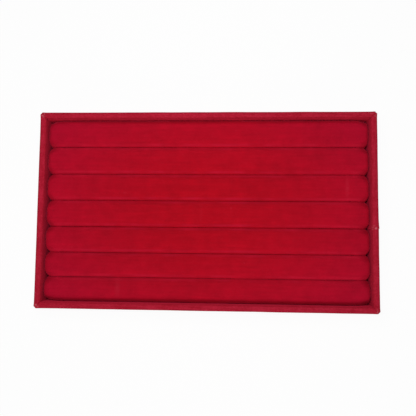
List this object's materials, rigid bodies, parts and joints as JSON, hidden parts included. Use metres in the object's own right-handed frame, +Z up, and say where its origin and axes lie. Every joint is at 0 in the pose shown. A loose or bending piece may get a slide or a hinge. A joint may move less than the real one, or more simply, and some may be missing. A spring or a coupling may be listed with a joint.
{
  "type": "ring tray",
  "caption": "Shallow rectangular velvet jewelry tray whose lift-out pad carries parallel padded rolls; finger rings stand in the slits between the rolls.",
  "frame": {"origin": "middle of the underside, on the surface that the tray stands on", "axes": "+X along the rolls to the right, +Y to the back of the tray, +Z up"},
  "size_m": [0.24, 0.14, 0.03],
  "materials": {
    "wall_velvet": "matte deep red short-pile velvet",
    "roll_velvet": "matte deep red short-pile velvet",
    "floor_flock": "matte red flocked sheet",
    "base_felt": "matte dark red felt",
    "fibreboard": "matte",
    "greyboard": "matte",
    "roll_foam": "matte open-cell foam",
    "brad_steel": "satin"
  },
  "bodies": {
    "tray": {"base_board": "fibreboard", "front_wall": "fibreboard", "back_wall": "fibreboard", "left_wall": "fibreboard", "right_wall": "fibreboard", "corner_brads": "brad_steel", "wall_wrap": "wall_velvet", "floor_lining": "floor_flock", "base_felt": "base_felt"},
    "ring_pad": {"pad_board": "greyboard", "roll_core_1": "roll_foam", "roll_core_2": "roll_foam", "roll_core_3": "roll_foam", "roll_core_4": "roll_foam", "roll_core_5": "roll_foam", "roll_core_6": "roll_foam", "roll_core_7": "roll_foam", "roll_cover_1": "roll_velvet", "roll_cover_2": "roll_velvet", "roll_cover_3": "roll_velvet", "roll_cover_4": "roll_velvet", "roll_cover_5": "roll_velvet", "roll_cover_6": "roll_velvet", "roll_cover_7": "roll_velvet"}
  },
  "joints": [
    {"name": "pad_lift", "type": "slide", "parent": "tray", "child": "ring_pad", "axis": [0, 0, 1], "range_m": [0, 0.03]}
  ]
}
